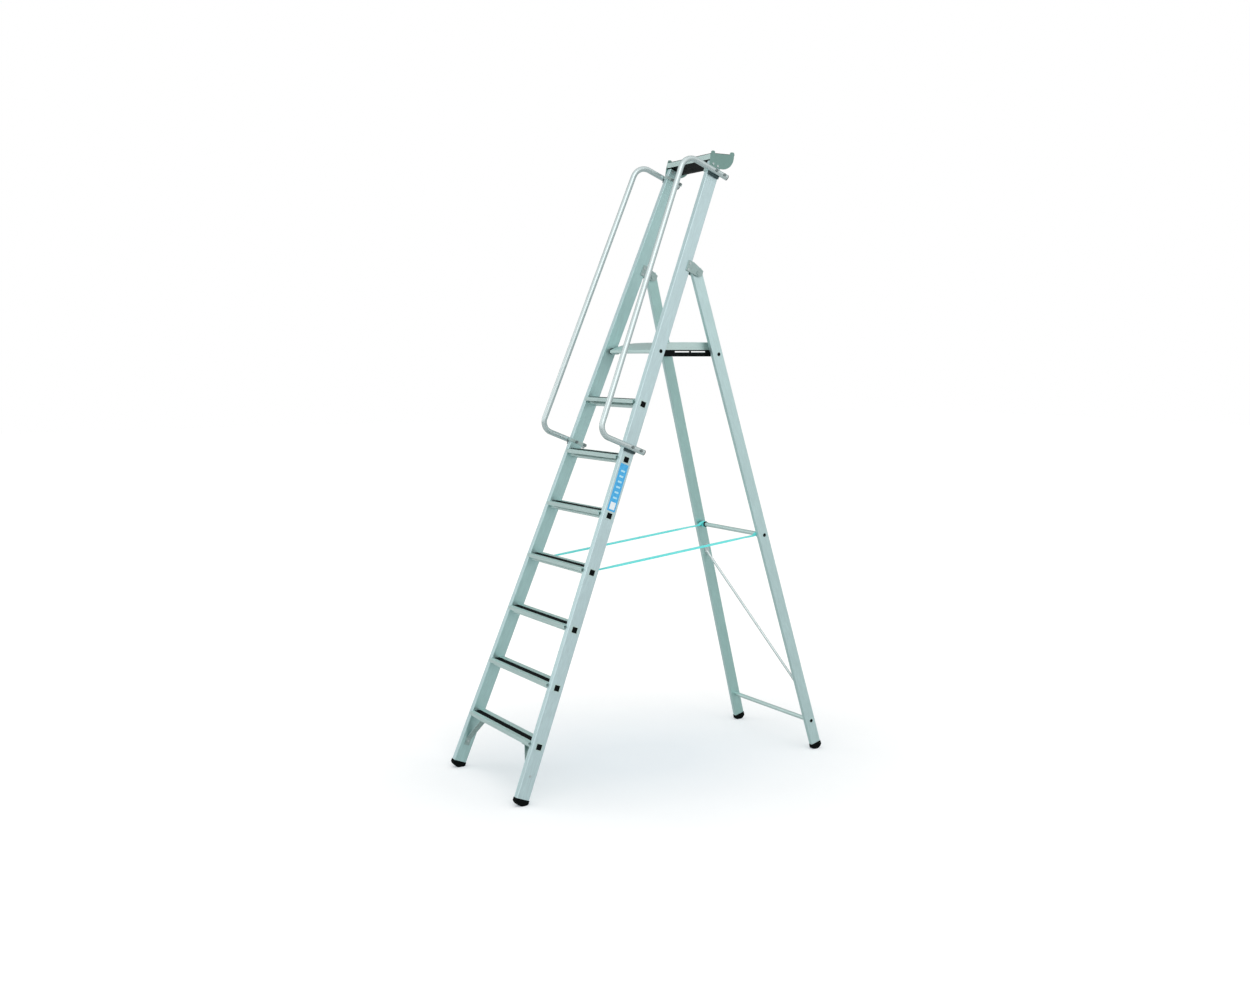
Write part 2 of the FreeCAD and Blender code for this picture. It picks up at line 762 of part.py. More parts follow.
washers = []
for side, sign in SIDES.items():
    own = stile_frame(side)
    for face in ("outer", "inner"):
        blank = plate(f"HingePlate{side}{face}", PLATE_CORNERS, "hinge_plate")
        round_edges(blank, blank.Tip, "hinge_plate_corner", parallel_to(Vector(1, 0, 0)))
        shift = sign * (mm(STILE_FACE[face]) + mm("hinge_plate/2"))
        blank.Placement = own.multiply(Placement(Vector(shift, 0, 0), Rotation()))
        holes = [hinge_hole]
        for index, (behind, along) in enumerate(PLATE_RIVETS):
            holes.append(stile_cross_hole(f"PlateHole{side}{face}{index}", side, "rivet/2",
                                          behind, along))
        keep(cut(f"HingeCut{side}{face}", blank, holes), f"hinge_plate_{side}_{face}", FRONT)
        spot = mm("stile_thick/2 - hinge_washer_thick/2") * (1 if face == "outer" else -1)
        ring = rod(f"Washer{side}{face}", "hinge_washer/2", "hinge_washer_thick",
                   (sign * spot, mm("hinge_behind"), mm("hinge_along/cos(taper)")),
                   placement=own)
        washers.append(cut(f"WasherRing{side}{face}", ring, [hinge_hole]))
    middle = stile_middle(mm("hinge_along"))
    half_grip = mm(f"{STILE_SLANT} + hinge_plate + hinge_head_play")
    pin = fastener(f"HingePin{side}", "hinge_pin", "hinge_pin_head", "hinge_head_thick",
                   2 * half_grip,
                   along_x((sign * (middle - half_grip), mm("hinge_behind"), mm("hinge_along")),
                           sign))
    keep(group(f"Pin{side}", [pin]), f"hinge_pin_{side}", FRONT)
keep(group("Washers", washers), "hinge_washers", FRONT)

# ---------------------------------------------------------------------------------------
# Handrails
# ---------------------------------------------------------------------------------------

RAIL_OUT = "(stile_thick/2 + rail_gap + rail_round/2)"


def rail_path(drawing):
    """Two arms joined by a long grip, with a bend at each end of the grip."""
    runs = [
        (("rail_end", "rail_low"), ("-rail_reach + rail_low_bend", "rail_low")),
        (("-rail_reach", "rail_low + rail_low_bend"), ("-rail_reach", "rail_high - rail_high_bend")),
        (("-rail_reach + rail_high_bend", "rail_high"), ("rail_end", "rail_high")),
    ]
    lines = []
    for start, end in runs:
        places = [Vector(mm(across), mm(up), 0) for across, up in (start, end)]
        item = drawing.addGeometry(Part.LineSegment(*places), False)
        pin_point(drawing, item, 1, *start)
        pin_point(drawing, item, 2, *end)
        lines.append(item)
    bends = (("rail_low_bend", ("-rail_reach + rail_low_bend", "rail_low + rail_low_bend"), 180, 270),
             ("rail_high_bend", ("-rail_reach + rail_high_bend", "rail_high - rail_high_bend"), 90, 180))
    for index, (radius, centre, first, last) in enumerate(bends):
        circle = Part.Circle(Vector(mm(centre[0]), mm(centre[1]), 0), Vector(0, 0, 1), mm(radius))
        arc = drawing.addGeometry(
            Part.ArcOfCircle(circle, math.radians(first), math.radians(last)), False)
        first_run, second_run = (lines[index], 2), (lines[index + 1], 1)
        ends = (second_run, first_run)
        for own_end, (line, point) in zip((1, 2), ends):
            drawing.addConstraint(Sketcher.Constraint("Coincident", arc, own_end, line, point))
        held = drawing.addConstraint(Sketcher.Constraint("Radius", arc, mm(radius)))
        drawing.setExpression(f"Constraints[{held}]", bound(radius))


GROOVE_LOW = f"sqrt((rail_round/2)^2 - ({RAIL_OUT} - stile_thick/2 - saddle_thick)^2)"
GROOVE_TOP = f"{RAIL_OUT} - sqrt((rail_round/2)^2 - saddle_above^2)"
SADDLE = [
    ("stile_thick/2", "-saddle_below"),
    ("stile_thick/2 + saddle_thick", "-saddle_below"),
    ("stile_thick/2 + saddle_thick", f"-{GROOVE_LOW}", (f"{RAIL_OUT} - rail_round/2", "0")),
    (GROOVE_TOP, "saddle_above"),
    ("stile_thick/2", "saddle_above"),
]
rail_caps = []
saddles = []
clamps = []
bolts = []
for side, sign in SIDES.items():
    own = stile_frame(side)
    turn = Rotation() if sign > 0 else Rotation(Vector(0, 0, 1), 180)
    flip = Rotation() if sign > 0 else Rotation(Vector(0, 1, 0), 180)
    rail_own = own.multiply(Placement(Vector(sign * mm(RAIL_OUT), 0, 0), Rotation()))
    body = doc.addObject("PartDesign::Body", f"RailTube{side}")
    path = new_sketch(body, "YZ_Plane")
    rail_path(path)
    ring = new_sketch(body, "XZ_Plane", Placement(Vector(0, 0, -mm("rail_end")), Rotation()))
    draw_circle(ring, "0", "rail_low", "rail_round/2")
    draw_circle(ring, "0", "rail_low", "rail_round/2 - rail_wall")
    doc.recompute()
    pipe = body.newObject("PartDesign::AdditivePipe", "Pipe")
    pipe.Profile = ring
    pipe.Spine = (path, [f"Edge{edge + 1}" for edge in range(len(path.Shape.Edges))])
    path.Visibility = ring.Visibility = False
    doc.recompute()
    body.Placement = rail_own
    rail_holes = []
    for row, along in enumerate(RAIL_ARMS):
        for column, behind in enumerate(RAIL_BOLTS):
            rail_holes.append(stile_cross_hole(f"RailHole{side}{row}{column}", side, "rail_bolt/2",
                                               behind, along))
            low = mm("-stile_thick/2 - clamp_thick")
            grip = mm(f"{RAIL_OUT} + rail_round/2") - low
            spot = own.multiply(along_x((sign * low, mm(behind), mm(along)), sign))
            bolts.append(fastener(f"RailBolt{side}{row}{column}", "rail_bolt", "rail_bolt_head",
                                  "rail_bolt_head_thick", grip, spot))
        cap_turn = Rotation(Vector(0, 0, 1), Vector(0, 1, 0))
        cap_place = Placement(Vector(0, mm("rail_end"), mm(along)), cap_turn)
        rail_caps.append(turned(f"RailCap{side}{row}",
                                [("-rail_cap_deep", "rail_round/2 - rail_wall"),
                                 ("0", "rail_round/2 - rail_wall"),
                                 ("0", "rail_round/2"),
                                 ("rail_cap_thick", "rail_round/2")],
                                rail_own.multiply(cap_place)))
        blank = plate(f"SaddleBlank{side}{row}", SADDLE, "2*saddle_half_deep", "XZ_Plane")
        through = rod(f"SaddleHole{side}{row}", "rail_bolt/2", THROUGH,
                      (0, sign * mm(RAIL_BOLTS[0]), 0))
        saddle = cut(f"Saddle{side}{row}", blank, [through])
        saddle.Placement = own.multiply(Placement(Vector(0, 0, mm(along)), turn))
        saddles.append(saddle)
        front = "(stile_depth/2)"
        inner = "(stile_thick/2)"
        hook = [(f"-{inner} - clamp_thick", f"-{front} - clamp_thick"),
                (inner, f"-{front} - clamp_thick"), (inner, f"-{front}"),
                (f"-{inner}", f"-{front}"), (f"-{inner}", "clamp_rear"),
                (f"-{inner} - clamp_thick", "clamp_rear")]
        strap = plate(f"ClampStrap{side}{row}", hook, "clamp_wide", "XY_Plane")
        strap.Placement = own.multiply(Placement(Vector(0, 0, mm(along)), flip))
        clamps.append(cut(f"Clamp{side}{row}", strap, rail_holes[-len(RAIL_BOLTS):]))
    keep(cut(f"Rail{side}", body, rail_holes), f"handrail_{side}", FRONT)
keep(group("RailCaps", rail_caps), "handrail_caps", FRONT)
keep(group("Saddles", saddles), "handrail_saddles", FRONT)
keep(group("Clamps", clamps), "handrail_clamps", FRONT)
keep(group("RailBolts", bolts), "handrail_bolts", FRONT)

# ---------------------------------------------------------------------------------------
# Tool tray on top of the stiles
# ---------------------------------------------------------------------------------------


def rim(behind):
    """Height along the frame of the level rim, at a distance behind the frame's middle."""
    return f"(stile_top + tray_rim + ({behind} + tray_front)*tan(front_lean))"


bend_middle = f"tray_round*{math.sqrt(0.5)}"
pan = doc.addObject("PartDesign::Body", "TrayPan")
pad(pan, draw_outline(new_sketch(pan, "YZ_Plane"), [
    ("-tray_front", "stile_top"),
    ("tray_rear - tray_round", "stile_top",
     (f"tray_rear - tray_round + {bend_middle}", f"stile_top + tray_round - {bend_middle}")),
    ("tray_rear", "stile_top + tray_round"),
    ("tray_rear", rim("tray_rear")),
    ("-tray_front", rim("-tray_front")),
]), "2*tray_half_long")
inner_bend = f"(tray_round - tray_wall)*{math.sqrt(0.5)}"
pocket(pan, draw_outline(new_sketch(pan, "YZ_Plane"), [
    ("-tray_front + tray_wall", "stile_top + tray_wall"),
    ("tray_rear - tray_round", "stile_top + tray_wall",
     (f"tray_rear - tray_round + {inner_bend}", f"stile_top + tray_round - {inner_bend}")),
    ("tray_rear - tray_wall", "stile_top + tray_round"),
    ("tray_rear - tray_wall", f"{rim('tray_rear')} + 20"),
    ("-tray_front + tray_wall", f"{rim('-tray_front')} + 20"),
]), "2*(tray_half_long - tray_wall)")
keep(pan, "tray_pan", FRONT)

lip_turn = Placement(Vector(0, -mm("tray_front"), mm("stile_top")),
                     Rotation(Vector(1, 0, 0), mm("front_lean")))
lip_blank = box("LipBlank", (-REACH, "-lip_thick", 0), (2 * REACH, "lip_thick", "lip_high"),
                lip_turn)
keep(common("Lip", lip_blank, lip_space), "tray_lip", FRONT)

EAR_FRONT = "(-tray_front - bracket_ear_ahead)"
EAR_REAR = "(tray_rear - bracket_ear_back)"
bracket_outline = [
    ("-stile_depth/2", "stile_top - bracket_skirt"),
    ("stile_depth/2 - bracket_ear_back", "stile_top - bracket_skirt/2",
     ("stile_depth/2 + bracket_belly", "stile_top + bracket_ear_back")),
    ("tray_rear", "stile_top + tray_round + bracket_rear_up"),
    (EAR_REAR, f"{rim(EAR_REAR)} + bracket_ear_high"),
    (f"{EAR_REAR} - bracket_ear_wide", f"{rim(EAR_REAR + ' - bracket_ear_wide')} + bracket_ear_high"),
    (f"{EAR_REAR} - bracket_ear_wide", rim(EAR_REAR + " - bracket_ear_wide")),
    (f"{EAR_FRONT} + bracket_ear_wide", rim(EAR_FRONT + " + bracket_ear_wide")),
    (f"{EAR_FRONT} + bracket_ear_wide", f"{rim(EAR_FRONT + ' + bracket_ear_wide')} + bracket_ear_high"),
    (EAR_FRONT, f"{rim(EAR_FRONT)} + bracket_ear_high"),
    ("-tray_front - bracket_ear_ahead/2", "stile_top"),
]


def on_ear(edge):
    """True for the top corners of the two ears."""
    spot = edge.CenterOfMass
    ear_foot = mm(rim(f"({spot.y:.4f})"))
    return (parallel_to(Vector(1, 0, 0))(edge)
            and spot.z > ear_foot + mm("bracket_ear_high") / 2)


for side, sign in SIDES.items():
    blank = plate(f"BracketBlank{side}", bracket_outline, "bracket_thick")
    round_edges(blank, blank.Tip, "bracket_ear_round", on_ear)
    shift = sign * mm("(stile_thick + bracket_thick)/2")
    blank.Placement = stile_frame(side).multiply(Placement(Vector(shift, 0, 0), Rotation()))
    holes = []
    for index, (behind, along) in enumerate(BRACKET_RIVETS):
        holes.append(stile_cross_hole(f"BracketHole{side}{index}", side, "rivet/2", behind, along))
    keep(cut(f"Bracket{side}", blank, holes), f"tray_bracket_{side}", FRONT)

# ---------------------------------------------------------------------------------------
# Rivets of the front frame
# ---------------------------------------------------------------------------------------

rivets = []
for side, sign in SIDES.items():
    own = stile_frame(side)
    half = mm("stile_thick/2")
    spans = [(spot, half + mm("hinge_plate"), half + mm("hinge_plate")) for spot in PLATE_RIVETS]
    spans.append((("0", BRACE_RIVET), half + mm("brace_thick"), half))
    spans += [(spot, half, half + mm("bracket_thick")) for spot in BRACKET_RIVETS]
    for index, ((behind, along), inward, outward) in enumerate(spans):
        spot = own.multiply(along_x((-sign * inward, mm(behind), mm(along)), sign))
        rivets.append(fastener(f"Rivet{side}{index}", "rivet", "rivet_head", "rivet_head_thick",
                               inward + outward, spot))
    grip = mm("brace_thick + tube_wall")
    spot = Placement(brace_tabs[side] - Vector(0, 0, mm("brace_thick")), Rotation())
    rivets.append(fastener(f"BraceTabRivet{side}", "rivet", "rivet_head", "rivet_head_thick", grip,
                           spot))
keep(group("Rivets", rivets), "frame_rivets", FRONT)

# ---------------------------------------------------------------------------------------
# Round cross tubes
# ---------------------------------------------------------------------------------------


def cross_tube(label, frame, half_long, behind, along):
    """A round tube across the ladder, with a plug pressed into each end."""
    centre = (0, mm(behind), mm(along))
    shaft = rod(label + "Shaft", "bar_round/2", 2 * half_long, centre)
    bore = rod(label + "Bore", "bar_round/2 - bar_wall", 2 * half_long + 2, centre)
    keep(cut(label + "Tube", shaft, [bore]), label, frame)
    ends = []
    for name, sign in SIDES.items():
        middle = sign * (half_long - mm("cap_recess + cap_deep/2"))
        ends.append(rod(f"{label}Cap{name}", "bar_round/2 - bar_wall", "cap_deep",
                        (middle, centre[1], centre[2])))
    return ends


platform_along = mm("platform_along")
tube_end = stile_middle(platform_along) + mm(f"{STILE_SLANT} + bar_proud")
tube_caps = cross_tube("platform_tube", FRONT, tube_end, "platform_behind", "platform_along")
keep(group("PlatformTubeCaps", tube_caps), "platform_tube_caps", FRONT)

spacers = []
for side, sign in SIDES.items():
    start = mm("platform_half_wide + spacer_play")
    finish = (stile_middle(platform_along) - mm(STILE_SLANT)
              - mm("spacer_round/2*tan(taper) + spacer_play/4"))
    ring = rod(f"Spacer{side}", "spacer_round/2", finish - start,
               (sign * (start + finish) / 2, mm("platform_behind"), platform_along))
    spacers.append(cut(f"SpacerRing{side}", ring, [platform_hole]))
keep(group("Spacers", spacers), "platform_spacers", FRONT)

LEG_SLANT = "leg_thick/2/cos(taper)"
REAR_BARS = {"support_tube": "support_along", "upper_crossbar": "upper_bar_along",
             "lower_crossbar": "lower_bar_along"}
leg_holes = []
rear_caps = []
for label, along in REAR_BARS.items():
    half_long = leg_middle(mm(along)) + mm(f"{LEG_SLANT} + bar_proud")
    rear_caps += cross_tube(label, REAR, half_long, "bar_behind", along)
    leg_holes.append(rod(label + "Hole", "bar_round/2", 2 * REACH,
                         (0, mm("bar_behind"), mm(along))))
keep(group("RearCaps", rear_caps), "rear_tube_caps", REAR)

# ---------------------------------------------------------------------------------------
# Diagonal brace of the rear frame, from high on the left leg to low on the right leg
# ---------------------------------------------------------------------------------------

between_legs = plate("BetweenLegs", [
    (-leg_middle(0) + mm(LEG_SLANT), 0), (leg_middle(0) - mm(LEG_SLANT), 0),
    (leg_middle(LEG_TO_HINGE) - mm(LEG_SLANT), LEG_TO_HINGE),
    (-leg_middle(LEG_TO_HINGE) + mm(LEG_SLANT), LEG_TO_HINGE)], f"{REACH}", "XZ_Plane")

DIAGONAL_ENDS = {"left": ("diagonal_high", 1), "right": ("diagonal_low", -1)}
ends = {}
brace_parts = []
brace_holes = []
brace_bolts = []
for side, (along, way) in DIAGONAL_ENDS.items():
    sign = SIDES[side]
    own = leg_frame(side)
    height = mm(along)
    ends[side] = Vector(sign * (leg_middle(height) - mm(LEG_SLANT)), 0, height)
    low = 0 if way > 0 else -mm("diagonal_tab_long")
    tab_low = height + low - way * mm("diagonal_tab_wide/2")
    inward = "-leg_thick/2 - diagonal_tab_thick" if sign > 0 else "leg_thick/2"
    brace_parts.append(box(f"DiagonalTab{side}", (inward, "-diagonal_tab_wide/2", tab_low),
                           ("diagonal_tab_thick", "diagonal_tab_wide", "diagonal_tab_long"), own))
    bolt_at = height + way * mm("diagonal_tab_long - diagonal_tab_wide")
    inner = mm("leg_thick/2")
    brace_holes.append(rod(f"DiagonalHole{side}", "diagonal_bolt/2", "leg_thick",
                           (-sign * inner, 0, bolt_at), placement=own))
    spot = own.multiply(along_x((-sign * (inner + mm("diagonal_tab_thick")), 0, bolt_at), sign))
    brace_bolts.append(fastener(f"DiagonalBolt{side}", "diagonal_bolt", "diagonal_bolt_head",
                                "3", "diagonal_tab_thick + leg_wall", spot))
line = ends["right"] - ends["left"]
middle = (ends["right"] + ends["left"]) / 2
brace_parts.append(rod("DiagonalRod", "diagonal_round/2", line.Length + 30, middle, line))
diagonal = common("DiagonalTrimmed", fuse("DiagonalJoined", brace_parts), between_legs)
keep(cut("Diagonal", diagonal, brace_holes), "diagonal_brace", REAR)
keep(group("DiagonalBolts", brace_bolts), "diagonal_bolts", REAR)

# ---------------------------------------------------------------------------------------
# Rear legs
# ---------------------------------------------------------------------------------------

pin_hole = rod("LegPinHole", "hinge_pin/2 + running_clearance", 2 * REACH,
               (0, 0, LEG_TO_HINGE))
for side in SIDES:
    leg_top = (LEG_TO_HINGE + mm("leg_above_pivot")) / mm("cos(taper)")
    section = hollow_section(f"LegSection{side}", "leg_depth", "leg_thick", "leg_wall",
                             "leg_corner", "foot_top", leg_top)
    section.Placement = leg_frame(side)
    keep(cut(f"Leg{side}", section, leg_holes + [pin_hole] + brace_holes),
         f"rear_leg_{side}", REAR)

# ---------------------------------------------------------------------------------------
# Straps between the fourth tread and the upper rear crossbar
# ---------------------------------------------------------------------------------------

collars = []
bar_centre = Vector(0, mm("bar_behind"), mm("upper_bar_along"))
for side, sign in SIDES.items():
    place = Vector(sign * mm("strap_at"), bar_centre.y, bar_centre.z)
    ring = rod(f"Collar{side}", "collar_round/2", "collar_long", place)
    collars.append(cut(f"CollarRing{side}", ring, [leg_holes[1]]))
keep(group("Collars", collars), "strap_collars", REAR)

strap_start = FRONT.multVec(Vector(0, mm("tube_side/2"), mm(tread_height(SIZES["strap_tread"]))))
strap_finish = REAR.multVec(bar_centre)
strap_line = strap_finish - strap_start
for side, sign in SIDES.items():
    turn = Rotation(Vector(1, 0, 0), math.degrees(math.atan2(strap_line.z, strap_line.y)))
    across = sign * mm("strap_at") - mm("strap_wide/2")
    start = Placement(Vector(across, strap_start.y, strap_start.z), turn)
    web = box(f"StrapWeb{side}", (0, 0, "-strap_thick/2"),
              ("strap_wide", strap_line.Length, "strap_thick"), start)
    tab_place = FRONT.multiply(Placement(
        Vector(across, mm("tube_side/2"), mm(tread_height(SIZES["strap_tread"]))), Rotation()))
    tab = box(f"StrapTab{side}", (0, 0, "-strap_tab/2"),
              ("strap_wide", "strap_thick", "strap_tab"), tab_place)
    middle = Vector(sign * mm("strap_at"), strap_finish.y, strap_finish.z)
    loop = rod(f"StrapLoop{side}", "collar_round/2 + strap_thick", "strap_wide", middle)
    hole = rod(f"StrapHole{side}", "collar_round/2", "2*strap_wide", middle)
    behind = box(f"StrapTrim{side}", (across - 10, "-tube_side/2", "-tube_side/2"),
                 ("strap_wide + 20", "tube_side", "tube_side"),
                 FRONT.multiply(Placement(Vector(0, 0, mm(tread_height(SIZES["strap_tread"]))),
                                          Rotation())))
    keep(cut(f"Strap{side}", fuse(f"StrapJoined{side}", [web, tab, loop]), [hole, behind]),
         f"spreader_strap_{side}")

# ---------------------------------------------------------------------------------------
# Platform, about the tube it tips on
# ---------------------------------------------------------------------------------------

SWEEP_RADIUS = "((platform_sweep^2 + platform_sweep_drop^2)/2/platform_sweep_drop)"
SWEEP_END = "(-platform_front + platform_sweep)"
SWEEP_MIDDLE = "(platform_sweep/2)"


def sweep_point(inset):
    """A point half way along the rounded nosing, an inset below the surface."""
    drop = f"({SWEEP_RADIUS} - sqrt({SWEEP_RADIUS}^2 - {SWEEP_MIDDLE}^2))"
    return (f"{SWEEP_END} - {SWEEP_MIDDLE}*({SWEEP_RADIUS} - {inset})/{SWEEP_RADIUS}",
            f"platform_top - {SWEEP_RADIUS} + ({SWEEP_RADIUS} - {inset})"
            f"*({SWEEP_RADIUS} - {drop})/{SWEEP_RADIUS}")


nose_high = "(platform_top - platform_sweep_drop)"
deck = doc.addObject("PartDesign::Body", "Deck")
pad(deck, draw_outline(new_sketch(deck, "YZ_Plane"), [
    (PLATFORM_REAR, "platform_skirt_low"),
    (PLATFORM_REAR, "platform_top"),
    (SWEEP_END, "platform_top", sweep_point("0")),
    ("-platform_front", nose_high),
    ("-platform_front", "-platform_nose_low"),
    ("-platform_front/2", "-platform_lug_low"),
    ("platform_lug_rear", "-platform_lug_low"),
    ("platform_lug_rear + platform_lug_slope", "platform_skirt_low"),
]), "2*platform_half_wide")
inner_drop_point = sweep_point("platform_wall")
under_nose = mm(f"platform_top - {SWEEP_RADIUS} + sqrt(({SWEEP_RADIUS} - platform_wall)^2"
                " - (platform_sweep - platform_wall)^2)")
pocket(deck, draw_outline(new_sketch(deck, "YZ_Plane"), [
    (f"{PLATFORM_REAR} - platform_wall", "-2*platform_top"),
    (f"{PLATFORM_REAR} - platform_wall", "platform_top - platform_wall"),
    (SWEEP_END, "platform_top - platform_wall", inner_drop_point),
    ("-platform_front + platform_wall", under_nose),
    ("-platform_front + platform_wall", "-2*platform_top"),
]), "2*(platform_half_wide - platform_wall)")
pivot_drawing = new_sketch(deck, "YZ_Plane")
draw_circle(pivot_drawing, "0", "0", "bar_round/2 + running_clearance")
pocket(deck, pivot_drawing)

count = int(mm(f"({PLATFORM_REAR} - {SWEEP_END} - deck_rib_wide)/deck_rib_pitch"))
for number in range(count + 1):
    start = f"{SWEEP_END} + {number}*deck_rib_pitch"
    rib = new_sketch(deck, "YZ_Plane")
    draw_outline(rib, [(start, "platform_top - deck_rib_high/2"),
                       (f"{start} + deck_rib_wide", "platform_top - deck_rib_high/2"),
                       (f"{start} + deck_rib_wide", "platform_top + deck_rib_high"),
                       (start, "platform_top + deck_rib_high")])
    pad(deck, rib, "2*(platform_half_wide - deck_rib_end)")

GUIDE_FRONT = {"right": "guide_front", "left": "short_guide_front"}
GUIDE_SLOTS = {"right": ("guide_slot_first", "guide_slot_first + guide_slot_pitch"), "left": ()}
GUIDE_RIVET_UP = "platform_skirt_low + guide_rivet_up"
GUIDE_LAST_RIVET = f"{PLATFORM_REAR} - guide_rivet_in"
GUIDE_RIVETS = {"right": ("guide_front + guide_rivet_in", f"{PLATFORM_REAR}/2 + guide_rivet_in",
                          GUIDE_LAST_RIVET),
                "left": ("short_guide_front + guide_rivet_in", GUIDE_LAST_RIVET)}


def guide_holes(name, side):
    """Rivet holes through one side of the deck and the guide inside it."""
    outer = SIDES[side] * mm("platform_half_wide")
    holes = []
    for index, ahead in enumerate(GUIDE_RIVETS[side]):
        holes.append(rod(f"{name}{index}", "rivet/2", "platform_half_wide",
                         (outer, mm(ahead), mm(GUIDE_RIVET_UP))))
    return holes


deck_holes = guide_holes("DeckHoleRight", "right") + guide_holes("DeckHoleLeft", "left")
keep(cut("DeckDrilled", deck, deck_holes), "platform_deck", PLATFORM)

guide_end = TUBE_AHEAD + mm("guide_past_tube")
gap = mm("bar_round/2 + hook_clearance")
hook_corner = mm(f"{PLATFORM_REAR} - platform_wall - guide_play")
platform_rivets = []
for side, sign in SIDES.items():
    front = GUIDE_FRONT[side]
    body = plate(f"Guide{side}", [
        (front, "guide_top"), (front, "-guide_low + guide_corner"),
        (f"{front} + guide_corner", "-guide_low"), (f"{guide_end} - guide_corner", "-guide_low"),
        (guide_end, "-guide_low + guide_corner"), (guide_end, "0"),
        (f"{guide_end} - guide_corner", "platform_skirt_low - guide_play"),
        (hook_corner, "platform_skirt_low - guide_play"),
        (hook_corner, "guide_top"),
    ], "guide_thick")
    for start in GUIDE_SLOTS[side]:
        slot = new_sketch(body, "YZ_Plane")
        draw_outline(slot, [(start, "-guide_slot_low"),
                            (f"{start} + guide_slot_long", "-guide_slot_low"),
                            (f"{start} + guide_slot_long", "guide_slot_high"),
                            (start, "guide_slot_high")])
        pocket(body, slot)
    middle = sign * mm("platform_half_wide - platform_wall - guide_thick/2")
    body.Placement = Placement(Vector(middle, 0, 0), Rotation())
    bay = rod(f"HookBay{side}", gap, "60", (middle, TUBE_AHEAD, TUBE_UP))
    mouth = plate(f"HookMouth{side}", [
        (TUBE_AHEAD + gap, TUBE_UP), (TUBE_AHEAD - gap, TUBE_UP),
        (TUBE_AHEAD - gap - mm("hook_flare"), TUBE_UP - 30), (TUBE_AHEAD + gap, TUBE_UP - 30)],
        "60")
    mouth.Placement = Placement(Vector(middle, 0, 0), Rotation())
    keep(cut(f"GuideCut{side}", body, [bay, mouth] + guide_holes(f"GuideHole{side}", side)),
         f"platform_guide_{side}", PLATFORM)
    grip = mm("platform_wall + guide_thick")
    inner = sign * mm("platform_half_wide - platform_wall - guide_thick")
    for index, ahead in enumerate(GUIDE_RIVETS[side]):
        steps = [("-rivet_head_thick", "rivet_head/2"), ("0", "rivet_head/2"), ("0", "rivet/2"),
                 (grip, "rivet/2")]
        platform_rivets.append(turned(f"GuideRivet{side}{index}", steps,
                                      along_x((inner, mm(ahead), mm(GUIDE_RIVET_UP)), sign)))
keep(group("PlatformRivets", platform_rivets), "platform_rivets", PLATFORM)

# ---------------------------------------------------------------------------------------
# Side label on the right stile
# ---------------------------------------------------------------------------------------

label = box("Label", ("stile_thick/2", "-label_wide/2", "label_low"),
            ("label_thick", "label_wide", "label_long"), stile_frame("right"))
keep(group("SideLabel", [label]), "side_label", FRONT)

# ---------------------------------------------------------------------------------------
# Check every piece and write it out
# ---------------------------------------------------------------------------------------

doc.recompute()
for item in doc.Objects:
    if "Invalid" in item.State or "Error" in item.State:
        raise RuntimeError(f"{item.Name} did not build: {item.State}")

os.makedirs("parts", exist_ok=True)
for node in NODES:
    shape = node.Shape
    if shape.isNull() or not shape.isValid() or not shape.Solids:
        raise RuntimeError(f"{node.Label} is not a sound solid")
    shape.exportStep(os.path.join("parts", node.Label + ".step"))
    bounds = shape.BoundBox
    print(f"{node.Label}: {len(shape.Solids)} solid(s), "
          f"{bounds.XLength:.1f} x {bounds.YLength:.1f} x {bounds.ZLength:.1f} mm")
print(f"{len(NODES)} nodes")
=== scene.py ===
"""Looks of the platform step ladder: finishes for the metal, rubber and plastic, two webbing
straps, the printed side label, and the studio it stands in."""
import math

import bmesh
import bpy
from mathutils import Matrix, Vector


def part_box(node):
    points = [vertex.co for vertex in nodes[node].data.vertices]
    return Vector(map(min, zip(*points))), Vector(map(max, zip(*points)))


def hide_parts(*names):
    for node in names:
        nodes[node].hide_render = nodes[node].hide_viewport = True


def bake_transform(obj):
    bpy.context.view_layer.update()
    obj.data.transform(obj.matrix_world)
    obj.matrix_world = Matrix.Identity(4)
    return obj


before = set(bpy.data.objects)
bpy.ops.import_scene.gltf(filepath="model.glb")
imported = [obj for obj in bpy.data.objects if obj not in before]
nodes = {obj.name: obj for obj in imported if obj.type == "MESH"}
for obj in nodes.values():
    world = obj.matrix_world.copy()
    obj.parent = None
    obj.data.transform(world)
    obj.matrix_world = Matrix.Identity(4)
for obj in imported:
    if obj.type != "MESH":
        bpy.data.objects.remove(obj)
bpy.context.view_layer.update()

SIDES = ("right", "left")
TREADS = range(1, 8)

# How far the two frames lean from upright, turned about X.
FRONT_LEAN = math.radians(21.6)
REAR_LEAN = math.radians(-15.7)


# ---------------------------------------------------------------------------------------
# Material helpers
# ---------------------------------------------------------------------------------------

# The colour sockets of a Mix node, which shares its numbers with the other data types.
MIX_FACTOR, MIX_FIRST, MIX_SECOND, MIX_RESULT = 0, 6, 7, 2


